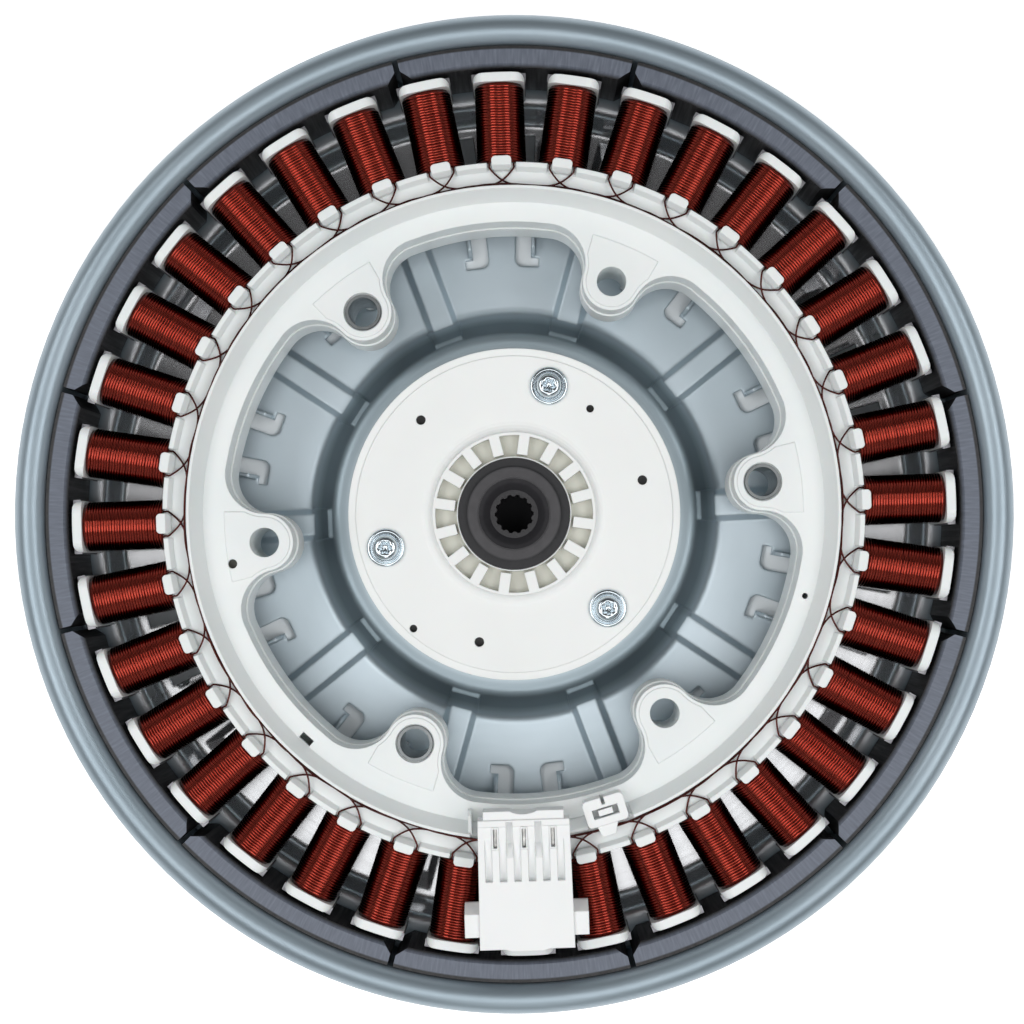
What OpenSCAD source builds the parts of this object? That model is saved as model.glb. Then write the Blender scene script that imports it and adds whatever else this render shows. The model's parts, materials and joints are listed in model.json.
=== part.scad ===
// Outer-rotor motor of a direct-drive washing machine, with the wound stator lying in its rotor.
// Z is the shaft axis and points out of the open side, and Z = 0 is the back of the rotor cup.
// The connector is on the -Y side. A clock angle runs clockwise from +Y, seen from the open side.

/* [Rotor cup] */
// Radius over the rolled rim
rotor_r = 150; // [148:0.5:158]
// Height of the rim above the back of the cup
rim_z = 51; // [49:0.5:58]
// Thickness of the pressed sheet
sheet_t = 1.6; // [1.2:0.1:2]
// Radius of the rolled rim's bead
bead_r = 4.6; // [4:0.1:5.2]
// Height of the ledge under the magnets
ledge_z = 13; // [12:0.5:15]
// Radial width of the ledge, from the cup wall inwards
ledge_w = 10.5; // [9:0.5:12]
// Radius of the flat seat under the hub
seat_r = 55.5; // [54:0.5:58]
// Height of the hub seat's top
seat_z = 13; // [12:0.5:15]
// Radial run of the sloping wall round the hub seat
seat_run = 9; // [7:0.5:11]
// Clock angle of the first magnet joint, rib and hub screw
rotor_clock = 17.15; // [0:0.05:30]

/* [Ribs and vanes of the cup] */
// Number of embossed radial ribs
rib_count = 10; // [8:1:12]
// Width of a rib at the floor
rib_w = 12.3; // [10:0.5:14]
// Width of a rib's flat crest
rib_crest_w = 6.5; // [4:0.5:8]
// Height of a rib above the floor
rib_h = 3; // [2:0.5:4]
// Width of a lanced window
window_w = 4.9; // [4:0.1:5.5]
// Radius of a window's inner end
window_in_r = 80; // [76:1:86]
// Radius of a window's outer end
window_out_r = 122; // [112:1:123]
// Angle between a window and the middle of its bay
window_angle = 4.7; // [4:0.1:5.5]
// Width of the relief slot at a window's foot
relief_w = 2.8; // [2:0.1:4]
// Length of the relief slot past the window
relief_l = 3.4; // [2.5:0.1:4]
// Height of a bent-up vane above the floor
vane_h = 4.6; // [3:0.2:6]
// Thickness of a vane
vane_t = 1.3; // [1:0.1:1.6]
// Reach of a rib's shoulder up the wall of the hub seat
rib_shoulder = 3.4; // [2.6:0.1:4]

/* [Magnets] */
// Number of magnet segments
magnet_count = 12; // [10:1:14]
// Radial thickness of a magnet
magnet_t = 6.5; // [5.5:0.1:7.5]
// Height of a magnet
magnet_h = 34.3; // [30:0.1:36]
// Gap between neighbouring magnets
magnet_gap = 1.7; // [1:0.1:3]
// Chamfer on a magnet's inner edges and on its lower outer edge
magnet_chamfer = 1.2; // [0.8:0.1:2]
// Bevel on a magnet's inner corners
magnet_bevel = 3; // [1:0.1:4]
// Glue gap behind and below a magnet
glue_gap = 0.15; // [0.1:0.05:0.3]

/* [Stator core] */
// Air gap between the pole faces and the magnets
air_gap = 0.9; // [0.7:0.1:1.2]
// Number of teeth and of coils
tooth_count = 36; // [30:6:36]
// Height of the laminated stack
stack_h = 24; // [20:0.5:26]
// Width of a tooth
tooth_w = 7; // [6:0.1:7.5]
// Radial thickness of a pole shoe
shoe_t = 2.3; // [1.8:0.1:2.8]
// Width of a pole shoe
shoe_w = 16.4; // [14:0.1:17.5]
// Radial width of the yoke ring
yoke_w = 6; // [5:0.5:7]

/* [Coils] */
// Width of a wound coil
coil_w = 15; // [14:0.1:15.6]
// Height of a wound coil
coil_h = 33.6; // [33:0.2:36]
// Length of a coil along its tooth
coil_l = 24; // [22:0.2:25]
// Turns in a coil's outer layer
coil_turns = 28; // [20:1:30]
// Depth of the groove between two turns
turn_groove = 0.3; // [0.2:0.05:0.4]
// Diameter of the enamelled wire between the coils
wire_d = 0.46; // [0.4:0.02:0.9]

/* [Insulators] */
// Wall of the sleeve round a tooth
sleeve_t = 1.2; // [0.9:0.1:1.4]
// Height of the sleeve's round crown above the stack
crown_h = 2.4; // [2:0.1:3]
// Thickness of the outer flanges
flange_t = 2.8; // [2.4:0.1:3.1]
// Wall of the outer flange behind the pole shoe
flange_back_t = 1.1; // [0.8:0.1:1.4]
// Width that a flange stands past its coil on each side
flange_side = 0.3; // [0.1:0.1:0.8]
// Height that a flange stands past its coil
flange_top = 0.3; // [0.2:0.1:1]
// Corner radius of a flange, seen along the tooth
flange_corner_r = 4; // [2:0.5:6]
// Corner radius of a flange's outer edges, seen from the open side
flange_end_r = 2.2; // [1.6:0.1:2.4]
// Wall of the slot liner over the yoke
liner_t = 1.4; // [1:0.1:2]
// Radial width of the mounting ring
frame_w = 9.9; // [8.5:0.1:11]
// Width of the sloping band under the outer wall's top edge
slope_w = 4; // [3:0.1:5]
// Height of the outer wall's top edge above the ring's flat face
wall_h = 7.5; // [6:0.1:9]
// Width of the outer wall's top edge
wall_edge_w = 0.9; // [0.6:0.1:1.4]
// Depth of the ring behind the stack's middle
frame_back_h = 16; // [14:0.5:16.5]
// Wall of the ring round its hollow
frame_wall = 2.5; // [2:0.1:3]
// Height of the lip outside the wire channel, under the coil's top
lip_drop = 1.3; // [0.8:0.1:2.5]
// Width of an inner tab
tab_w = 6; // [5:0.1:6.6]
// Reach of a tab's head over the coil
tab_reach = 1.5; // [0.8:0.1:2.2]
// Thickness of a tab's head
tab_head_t = 1.3; // [1:0.1:2]
// Radial run of the slope on a tab's inner side
tab_slope_run = 1.3; // [0.8:0.1:1.8]
// Width of the notch on each side of a tab, where the wire leaves
notch_w = 1.4; // [1.1:0.1:1.8]
// Radial run of the slope inside the lip
lip_run = 1.2; // [0.8:0.1:1.6]
// Height of the low wall that closes the channel where the sloping band is cut away
low_wall_h = 2.4; // [1.8:0.1:3]
// Height of the raised pad round a boss
pad_h = 0.3; // [0.2:0.05:0.5]

/* [Mounting bosses] */
// Number of mounting bosses
boss_count = 6; // [4:1:6]
// Pitch circle of the mounting holes
boss_pcd = 151.6; // [148:0.2:154]
// Radius of a boss
boss_r = 8.7; // [8:0.1:9.4]
// Diameter of a mounting hole
boss_hole_d = 8.9; // [8:0.1:9.4]
// Radius of the fillet from a boss to the ring
boss_fillet_r = 12; // [9:0.5:13]
// Clock angle of the first boss
boss_clock = 25; // [15:0.5:35]
// Wall of a steel sleeve in every second boss
bush_wall = 0.9; // [0.7:0.1:1.2]
// Width of the groove round a sleeve's end
bush_groove = 0.4; // [0.3:0.1:0.6]
// Step of the rear half past the front half round the ring's inner edge
parting_step = 0.5; // [0.3:0.1:0.8]

/* [Hub] */
// Radius of the hub disc
hub_r = 52; // [50:0.5:53.5]
// Thickness of the hub disc
hub_t = 5; // [4:0.5:6]
// Width of the step round the disc's edge
hub_edge_w = 2.4; // [1.5:0.1:3]
// Radius of the raised middle
hub_core_r = 25.5; // [25:0.5:27]
// Height of the raised middle above the disc
hub_core_h = 2.5; // [2:0.5:4]
// Number of ribs round the bush
hub_rib_count = 16; // [12:1:18]
// Radius of the pockets between the ribs
pocket_out_r = 24.6; // [23:0.1:24.8]
// Depth of the pockets
pocket_depth = 3.5; // [2:0.5:5]
// Width of a rib between two pockets
hub_rib_w = 3.3; // [2.5:0.1:4]
// Pitch circle of the hub screws
screw_pcd = 83; // [80:0.5:86]
// Number of hub screws
screw_count = 3; // [3:1:5]
// Diameter of a hub screw's shank
screw_d = 5; // [4:0.5:6]
// Diameter of a captive washer
washer_d = 12; // [11:0.5:13]
// Diameter of a screw's head
screw_head_d = 8.4; // [8:0.2:10]
// Diameter of the locating holes in the hub
locating_d = 3; // [2:0.2:4]
// Diameter of the two pin holes in the hub
pin_hole_d = 2.4; // [1.6:0.2:3]

/* [Splined bush] */
// Radius of the bush's flange
bush_flange_r = 17.4; // [17:0.1:17.6]
// Radius of the bush's barrel
bush_r = 15.6; // [15:0.1:16.5]
// Radius of the raised collar
collar_r = 14.6; // [13.5:0.1:15]
// Radius of the round mouth ahead of the spline
mouth_r = 11; // [10:0.1:12]
// Root radius of the spline
spline_r = 6.1; // [5.5:0.1:6.5]
// Number of spline teeth
spline_teeth = 14; // [12:1:16]
// Height of a spline tooth
spline_tooth_h = 0.6; // [0.4:0.1:0.9]

/* [Power connector] */
// Width of the housing at its inner end
plug_in_w = 27; // [26:0.2:28]
// Width of the housing at its outer end
plug_out_w = 28; // [27:0.2:29]
// Length of the housing from the mounting ring outwards
plug_l = 40.5; // [38:0.5:42]
// Height of the housing
plug_h = 9.8; // [9:0.2:12]
// Distance between the terminals
terminal_pitch = 8.5; // [8:0.1:8.8]
// Thickness of a terminal blade
blade_t = 0.8; // [0.6:0.1:1]
// Width of a terminal blade
blade_w = 4.8; // [4:0.1:5.4]
// Depth of the socket
socket_l = 17; // [14:0.5:19]
// Wall round the socket
socket_wall = 1.6; // [1.2:0.1:2]

/* [Hidden] */
$fn = 96;
fit = 0.1;
seam = 0.01;
far = 400;

// Rotor places
wall_r = rotor_r - 2 * bead_r;
ledge_in_r = wall_r - ledge_w;
bead_z = rim_z - bead_r;
seat_hole_r = 30.2;
seat_foot_r = seat_r + seat_run;
magnet_out_r = wall_r - glue_gap;
magnet_in_r = magnet_out_r - magnet_t;
magnet_z = ledge_z + glue_gap;
bay_angle = 360 / rib_count;

// Stator places, worked inwards from the air gap and upwards from the ledge
pole_r = magnet_in_r - air_gap;
shoe_in_r = pole_r - shoe_t;
coil_out_r = shoe_in_r - fit - flange_back_t - fit;
coil_in_r = coil_out_r - coil_l;
liner_r = coil_in_r - fit;
yoke_r = liner_r - liner_t - fit;
yoke_in_r = yoke_r - yoke_w;
frame_r = yoke_in_r - fit;
frame_in_r = frame_r - frame_w;
flange_in_r = coil_out_r + fit;
flange_r = flange_in_r + flange_t;
flange_w = coil_w + 2 * flange_side;
flange_half_h = coil_h / 2 + flange_top;
under_clear = 0.9;
mid_z = ledge_z + under_clear + flange_half_h;
tooth_pitch = 360 / tooth_count;
stack_top = stack_h / 2;
coil_top = coil_h / 2;
sleeve_w = tooth_w + 2 * fit + 2 * sleeve_t;
sleeve_half_h = stack_top + crown_h;
channel_t = 1.4;
channel_z = stack_top + fit + channel_t;
frame_face_z = stack_top;
wall_z = frame_face_z + wall_h;
lip_z = coil_top - lip_drop;
tab_head_z = coil_top + 0.2;
tab_top_z = tab_head_z + tab_head_t;
channel_w = 5.1;
channel_in_r = frame_r - 0.5;
lip_foot_r = liner_r - liner_t - lip_run;
tab_in_r = frame_r + channel_w;
tab_corner_r = 1.2;
tab_slope_h = 2.4;
boss_r0 = boss_pcd / 2;
bush_hole_d = boss_hole_d + 2 * bush_wall + 2 * fit;
half_gap = 0.05;
pad_inset = 1;
gap_in_clock = 160.4;
gap_rib_x = 16.1;
gap_rib_t = 1.1;

// Hub places
hub_top_z = seat_z + hub_t;
core_top_z = hub_top_z + hub_core_h;
hub_back_z = 2;
core_blend_r = 3.5;
hub_back_pocket_r = 3.6;
pocket_in_r = bush_flange_r + 0.5;
pocket_z = core_top_z - pocket_depth;
washer_t = 1.2;
screw_head_h = 3.4;
screw_tail = 3;
hub_hole_angle = 60;

// Connector places: its housing lies over the coils, and its foot stands on the mounting ring
plug_in_r = frame_in_r + 0.2;
plug_out_r = plug_in_r + plug_l;
plug_z = mid_z + tab_top_z + 0.3;
plug_top_z = plug_z + plug_h;
plug_foot_w = 24;
plug_foot_l = sqrt((channel_in_r - fit) ^ 2 - (plug_foot_w / 2) ^ 2) - plug_in_r;
foot_z = mid_z + frame_face_z;
lip_l = 2.6;
lip_half_w = 11.9;
bar_l = 1.9;
bar_rise = 0.7;
slit_in_r = plug_in_r + 5.2;
slit_l = 5.6;
slit_rim = 0.5;
roof_r = plug_out_r - socket_l - 2.8;
groove_w = 2.1;
groove_step = terminal_pitch / 2;
groove_depth = 2.4;
groove_in_r = plug_in_r + 8;
lane_w = 1.9;
lane_depth = 2.2;
lane_l = 7;
ear_w = 4.3;
ear_l = 6.8;
ear_slope = 2.6;
ear_inset = 3.6;
bulge_w = 11;
bulge_l = 0.6;
blade_z = plug_z + plug_h / 2 - 0.3;
slot_clear = 0.15;

// Lead clip places
clip_clock = 164.8;
clip_w = 12.6;
clip_l = 11.6;
clip_in_r = frame_in_r + 0.9;
clip_block_l = sqrt((channel_in_r - fit) ^ 2 - (clip_w / 2) ^ 2) - clip_in_r;
clip_h = 8.6;
clip_pocket_w = 7.8;
clip_pocket_l = 2.8;
clip_bar_w = 4.4;
clip_bar_l = 1.8;
clip_depth = 5;

// Crossover wire places
wire_step = 3;
wire_lane_r = frame_r + 0.7;
wire_cross_r = frame_r + 2.3;
wire_sides = 6;
wire_level = wire_d + 0.1;
wire_arc_points = 7;
wire_base_z = mid_z + channel_z + wire_d + 0.45;

coil_names = [for (i = [1:tooth_count]) str("coil_", i < 10 ? "0" : "", i)];
magnet_names = [for (i = [1:magnet_count]) str("magnet_", i < 10 ? "0" : "", i)];

// A point on a circle at a clock angle
function clock_point(angle, r) = [r * sin(angle), r * cos(angle)];

// Unit vector from one 2D point to another
function toward(a, b) = (b - a) / norm(b - a);

// Points of a fillet that replaces the middle one of three corners
function fillet(a, b, c, r, n = 4) =
    let (
        u = toward(b, a),
        v = toward(b, c),
        half = acos(u * v) / 2,
        centre = b + toward([0, 0], u + v) * r / sin(half),
        p = b + u * r / tan(half),
        q = b + v * r / tan(half),
        start = atan2(p[1] - centre[1], p[0] - centre[0]),
        turn = atan2(q[1] - centre[1], q[0] - centre[0]) - start,
        sweep = turn > 180 ? turn - 360 : (turn < -180 ? turn + 360 : turn)
    )
    [for (i = [0:n]) centre + r * [cos(start + sweep * i / n), sin(start + sweep * i / n)]];

// Direction square to the path at point i
function path_normal(path, i) =
    let (
        before = i == 0 ? toward(path[0], path[1]) : toward(path[i - 1], path[i]),
        after = i == len(path) - 1 ? before : toward(path[i], path[i + 1]),
        mean = toward([0, 0], before + after)
    )
    [-mean[1], mean[0]] / (mean * after);

// Outline of a sheet of thickness t along a path
function sheet_outline(path, t) = concat(
    [for (i = [0:len(path) - 1]) path[i] + path_normal(path, i) * t / 2],
    [for (i = [len(path) - 1:-1:0]) path[i] - path_normal(path, i) * t / 2]
);

module ring_2d(r0, r1) {
    difference() {
        circle(r1);
        circle(r0);
    }
}

// Square strip along +Y, centred on the Y axis
module strip_2d(width, y0, y1) {
    translate([-width / 2, y0]) square([width, y1 - y0]);
}

// Places its children at a clock angle and a radius
module at_clock(angle, r = 0) {
    rotate([0, 0, -angle]) translate([0, r, 0]) children();
}

// Extrudes a section, drawn in X and Z, along +Y from r0 to r1
module along_radius(r0, r1) {
    translate([0, r1, 0]) rotate([90, 0, 0]) linear_extrude(r1 - r0) children();
}

// Extrudes a section, drawn in Y and Z, across the Y axis
module across(width) {
    translate([-width / 2, 0, 0]) rotate([90, 0, 90]) linear_extrude(width) children();
}

// Upright section with half-round ends
module stadium_2d(width, half_h) {
    straight = half_h - width / 2;
    translate([-width / 2, -straight]) square([width, 2 * straight]);
    translate([0, straight]) circle(width / 2);
    translate([0, -straight]) circle(width / 2);
}

// Rectangle with round corners
module round_rect_2d(width, height, r) {
    strip_2d(width - 2 * r, -height / 2, height / 2);
    strip_2d(width, r - height / 2, height / 2 - r);
    for (x = [-1, 1], y = [-1, 1]) translate([x * (width / 2 - r), y * (height / 2 - r)]) circle(r);
}

// Half of the pressed cup's section, as the middle line of its sheet
function cup_path() =
    let (
        h = sheet_t / 2,
        seat = seat_z - h,
        ledge = ledge_z - h,
        a = [seat_hole_r, seat],
        b = [seat_r + h, seat],
        c = [seat_foot_r, h],
        d = [ledge_in_r - 4, h],
        e = [ledge_in_r - 0.4, ledge],
        f = [wall_r + h, ledge],
        g = [wall_r + h, bead_z]
    )
    concat(
        [a],
        fillet(a, b, c, 3),
        fillet(b, c, d, 4),
        fillet(c, d, e, 3),
        fillet(d, e, f, 2.5),
        fillet(e, f, g, 2),
        [g]
    );

// Rolled rim, open towards the outside of the wall
module bead_2d() {
    translate([rotor_r - bead_r, bead_z]) difference() {
        ring_2d(bead_r - sheet_t, bead_r);
        polygon([[0, 0], [-far, 0], [-far, -far], [bead_r * 0.3, -far]]);
    }
}

// Long side of an embossed rib: its floor line, its run-out and its start under the hub seat
module rib_side_2d(rise, foot_r, end_r) {
    polygon([[foot_r, -1], [foot_r, rise], [end_r - 2 * rise, rise], [end_r, 0], [end_r, -1]]);
}

// Rib solid with a crest at the height rise
module rib_block(rise, base_w, crest_w, foot_r, end_r) {
    half = base_w / 2;
    intersection() {
        along_radius(foot_r - 1, end_r + 1) polygon([
            [-half - 1, -1],
            [-half, 0],
            [-crest_w / 2, rise],
            [crest_w / 2, rise],
            [half, 0],
            [half + 1, -1]
        ]);
        across(2 * base_w) rib_side_2d(rise, foot_r, end_r);
    }
}

// Shoulder of a rib, which climbs the sloping wall of the hub seat
module rib_shoulder_block(rise, base_w, inset) {
    top = seat_z - 1.4 - inset;
    top_r = seat_r + rib_shoulder - 0.8 * inset;
    run = seat_run * (top - rise) / seat_z;
    intersection() {
        along_radius(seat_r - 2, seat_foot_r + 4) polygon([
            [-base_w / 2, -1],
            [-base_w / 2 + 1.2, top + 1],
            [base_w / 2 - 1.2, top + 1],
            [base_w / 2, -1]
        ]);
        across(2 * base_w) polygon([
            [seat_r - 1, rise - 1],
            [seat_r - 1, top],
            [top_r, top],
            [top_r + run, rise],
            [top_r + run, rise - 1]
        ]);
    }
}

// One lanced window with the relief slot at its foot, on the side of the given sign
module window_cut(side) {
    at_clock(side * window_angle) {
        translate([0, 0, -1]) linear_extrude(sheet_t + 2) {
            strip_2d(window_w, window_in_r + window_w / 2, window_out_r);
            translate([0, window_in_r + window_w / 2]) circle(window_w / 2);
            translate([side * (window_w + relief_l) / 4, window_in_r + relief_w / 2])
                square([(window_w + 2 * relief_l) / 2, relief_w], center = true);
        }
    }
}

// Vane bent up along a window's outer edge
module vane(side) {
    at_clock(side * window_angle)
        translate([side * (window_w + vane_t) / 2, 0, 0])
            across(vane_t)
                polygon([
                    [window_in_r + relief_w + 0.6, sheet_t / 2],
                    [window_in_r + relief_w + 0.6, sheet_t + vane_h * 0.6],
                    [window_in_r + relief_w + 3, sheet_t + vane_h],
                    [window_out_r - 6, sheet_t + vane_h],
                    [window_out_r - 0.5, sheet_t / 2]
                ]);
}

module rotor_cup() {
    rib_top = sheet_t + rib_h;
    rib_out_r = ledge_in_r - 4.5;
    inner_w = rib_w - 2 * sheet_t;
    color("slategray") difference() {
        union() {
            rotate_extrude() {
                polygon(sheet_outline(cup_path(), sheet_t));
                bead_2d();
            }
            for (i = [0:rib_count - 1]) at_clock(rotor_clock + bay_angle * i) {
                rib_block(rib_top, rib_w, rib_crest_w, seat_foot_r - 4, rib_out_r);
                rib_shoulder_block(rib_top - 0.5, rib_w - 1, 0);
            }
            for (i = [0:rib_count - 1]) at_clock(rotor_clock + bay_angle * (i + 0.5)) {
                vane(-1);
                vane(1);
            }
        }
        translate([0, 0, -far]) cylinder(h = far, r = rotor_r);
        for (i = [0:rib_count - 1]) at_clock(rotor_clock + bay_angle * i) {
            rib_block(rib_h, inner_w, rib_crest_w - sheet_t, seat_foot_r - 9, rib_out_r - sheet_t);
            rib_shoulder_block(rib_h - 0.5, inner_w - 1, sheet_t);
        }
        for (i = [0:rib_count - 1]) at_clock(rotor_clock + bay_angle * (i + 0.5)) {
            window_cut(-1);
            window_cut(1);
        }
        for (i = [0:screw_count - 1]) at_clock(rotor_clock + 360 / screw_count * i, screw_pcd / 2)
            translate([0, 0, seat_z - sheet_t - 1]) cylinder(h = sheet_t + 2, d = screw_d + 2 * fit);
    }
}

module magnet(i) {
    gap_angle = magnet_gap / (magnet_in_r + magnet_t / 2) * 180 / PI;
    span = 360 / magnet_count - gap_angle;
    c = magnet_chamfer;
    top = magnet_z + magnet_h;
    color("dimgray") at_clock(rotor_clock + 360 / magnet_count * (i - 0.5)) difference() {
        rotate([0, 0, 90 - span / 2]) rotate_extrude(angle = span) polygon([
            [magnet_out_r - c, magnet_z],
            [magnet_out_r, magnet_z + c],
            [magnet_out_r, top],
            [magnet_in_r + c, top],
            [magnet_in_r, top - c],
            [magnet_in_r, magnet_z + c],
            [magnet_in_r + c, magnet_z]
        ]);
        for (side = [-1, 1]) at_clock(side * span / 2, magnet_in_r) rotate(45)
            cube([magnet_bevel * sqrt(2), magnet_bevel * sqrt(2), far], center = true);
    }
}

module stator_core() {
    color("gray") translate([0, 0, mid_z - stack_top]) linear_extrude(stack_h) {
        ring_2d(yoke_in_r, yoke_r);
        for (i = [0:tooth_count - 1]) rotate(-tooth_pitch * i) {
            strip_2d(tooth_w, yoke_r - 1, shoe_in_r + 1);
            intersection() {
                ring_2d(shoe_in_r, pole_r);
                strip_2d(shoe_w, shoe_in_r - 3, pole_r + 1);
            }
        }
    }
}

// Outline of the mounting ring with its bosses, made larger inwards by step
module frame_2d(step) {
    in_r = frame_in_r - step;
    lobe_r = boss_r + step;
    fillet_r = boss_fillet_r - step;
    bite = 0.03;
    fillet_at = in_r - fillet_r + bite;
    reach = lobe_r + fillet_r - bite;
    neck_y = sqrt(fillet_at ^ 2 - reach ^ 2);
    near = acos((fillet_at ^ 2 + boss_r0 ^ 2 - reach ^ 2) / (2 * fillet_at * boss_r0));
    swing = neck_y > boss_r0 ? asin(reach / fillet_at) : near;
    difference() {
        union() {
            ring_2d(in_r, frame_r);
            for (i = [0:boss_count - 1]) rotate(-boss_clock - 360 / boss_count * i) {
                translate([0, boss_r0]) circle(lobe_r);
                if (neck_y > boss_r0) strip_2d(2 * (lobe_r - bite), boss_r0, neck_y + 1);
                polygon([
                    [0, max(boss_r0, neck_y)],
                    clock_point(-swing, fillet_at),
                    clock_point(-swing, in_r + 1),
                    [0, in_r + 4],
                    clock_point(swing, in_r + 1),
                    clock_point(swing, fillet_at)
                ]);
            }
        }
        for (i = [0:boss_count - 1], side = [-1, 1]) {
            turn = boss_clock + 360 / boss_count * i + side * swing;
            translate(clock_point(turn, fillet_at)) circle(fillet_r);
        }
    }
}

// Holes of the bosses, wider where a steel sleeve sits, with a groove round the sleeve's end
module boss_holes() {
    groove_d = bush_hole_d + 2 * bush_groove;
    for (i = [0:boss_count - 1]) at_clock(boss_clock + 360 / boss_count * i, boss_r0) {
        translate([0, 0, -far / 2]) cylinder(h = far, d = i % 2 == 1 ? bush_hole_d : boss_hole_d);
        if (i % 2 == 1) translate([0, 0, frame_face_z - 1]) cylinder(h = far, d = groove_d);
    }
}

// Raised pads round the bosses, cut off near the ring's inner edge
module boss_pads_2d() {
    half_angle = 7;
    intersection() {
        frame_2d(-pad_inset);
        circle(frame_in_r - 0.6);
        union() for (i = [0:boss_count - 1]) rotate(-boss_clock - 360 / boss_count * i)
            polygon([[0, 0], clock_point(-half_angle, far), clock_point(half_angle, far)]);
    }
}

// Small holes in the ring's face
module frame_marks() {
    depth = 3;
    translate([0, 0, frame_face_z - depth]) {
        at_clock(108, frame_in_r + 3.4) cylinder(h = far, r = 0.9);
        at_clock(261.5, frame_in_r - 1.8) cylinder(h = far, r = 1.4);
        at_clock(224.3, frame_in_r + 4.6) translate([-2.1, -1.05, 0]) cube([4.2, 2.1, far]);
    }
}

// Plan of an outer flange: flat against the coil, with round outer corners
module flange_plan_2d() {
    corner_at_r = flange_r - flange_end_r;
    corner_x = flange_w / 2 - flange_end_r;
    corner_y = sqrt(corner_at_r ^ 2 - corner_x ^ 2);
    bite = 0.02;
    difference() {
        union() {
            intersection() {
                circle(flange_r);
                union() {
                    strip_2d(2 * corner_x, flange_in_r - 4, flange_r + 1);
                    strip_2d(flange_w, flange_in_r - 4, corner_y);
                }
            }
            for (side = [-1, 1]) translate([side * corner_x, corner_y]) circle(flange_end_r + bite);
        }
        strip_2d(2 * flange_w, 0, flange_in_r);
    }
}

// Half of the insulation round one tooth, over the plane Z = 0 of the stack's middle
module tooth_sleeve() {
    along_radius(liner_r - liner_t / 2, flange_in_r + 0.5) intersection() {
        stadium_2d(sleeve_w, sleeve_half_h);
        strip_2d(sleeve_w + 1, half_gap, far);
    }
    intersection() {
        translate([0, 0, half_gap]) linear_extrude(far) flange_plan_2d();
        along_radius(flange_in_r - 5, flange_r + 1)
            round_rect_2d(flange_w, 2 * flange_half_h, flange_corner_r);
    }
}

// Room for the core in an insulator half
module core_room() {
    room_z = stack_top + fit;
    for (i = [0:tooth_count - 1]) at_clock(tooth_pitch * i) {
        translate([-tooth_w / 2 - fit, yoke_r - 2, -1])
            cube([tooth_w + 2 * fit, shoe_in_r - yoke_r + 3, room_z + 1]);
        translate([0, 0, -1]) linear_extrude(room_z + 1) intersection() {
            ring_2d(shoe_in_r - fit, pole_r + 2);
            strip_2d(shoe_w + 1, shoe_in_r - 3, pole_r + 2);
        }
    }
}

// Inner tab of one tooth: a round-cornered stalk with a slope towards the ring and a head over the coil
module tab() {
    tab_l = liner_r + tab_reach - tab_in_r;
    intersection() {
        translate([0, tab_in_r + tab_l / 2, 0]) linear_extrude(far)
            round_rect_2d(tab_w, tab_l, tab_corner_r);
        across(2 * tab_w) polygon([
            [tab_in_r - 1, channel_z - 0.5],
            [tab_in_r - 1, tab_top_z - tab_slope_h],
            [tab_in_r, tab_top_z - tab_slope_h],
            [tab_in_r + tab_slope_run, tab_top_z],
            [far, tab_top_z],
            [far, tab_head_z],
            [liner_r, tab_head_z],
            [liner_r, channel_z - 0.5]
        ]);
    }
}

// Plan of the gap in the sloping band, from the clip's far side to the rib beside the connector
module wall_gap_2d(margin) {
    intersection() {
        circle(frame_r + 1);
        polygon([
            [0, 0],
            clock_point(gap_in_clock - 180 - margin, far),
            [gap_rib_x + margin, far],
            [gap_rib_x + margin, 0]
        ]);
    }
}

// Low wall that closes the wire channel in that gap, with room for the connector's foot and the clip
module low_wall() {
    difference() {
        intersection() {
            rotate_extrude() polygon([
                [frame_r - slope_w, frame_face_z - 1],
                [frame_r - slope_w, frame_face_z + 0.4],
                [frame_r - wall_edge_w, frame_face_z + low_wall_h],
                [frame_r, frame_face_z + low_wall_h],
                [frame_r, frame_face_z - 1]
            ]);
            at_clock(180) linear_extrude(far) wall_gap_2d(0.3);
        }
        at_clock(180) translate([-plug_foot_w / 2 - fit, plug_in_r, frame_face_z])
            cube([plug_foot_w + 2 * fit, frame_w, far]);
        at_clock(clip_clock) translate([-clip_w / 2 - fit, clip_in_r, frame_face_z])
            cube([clip_w + 2 * fit, frame_w, far]);
    }
}

// Rib that ends the sloping band beside the connector
module end_rib() {
    at_clock(180) translate([gap_rib_x, 0, 0]) across(gap_rib_t) polygon([
        [frame_in_r + 0.8, frame_face_z - 1],
        [frame_in_r + 0.8, wall_z - 2.4],
        [frame_in_r + 2.2, wall_z - 1],
        [frame_r - 2, wall_z - 1],
        [frame_r - 2, frame_face_z - 1]
    ]);
}

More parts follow.
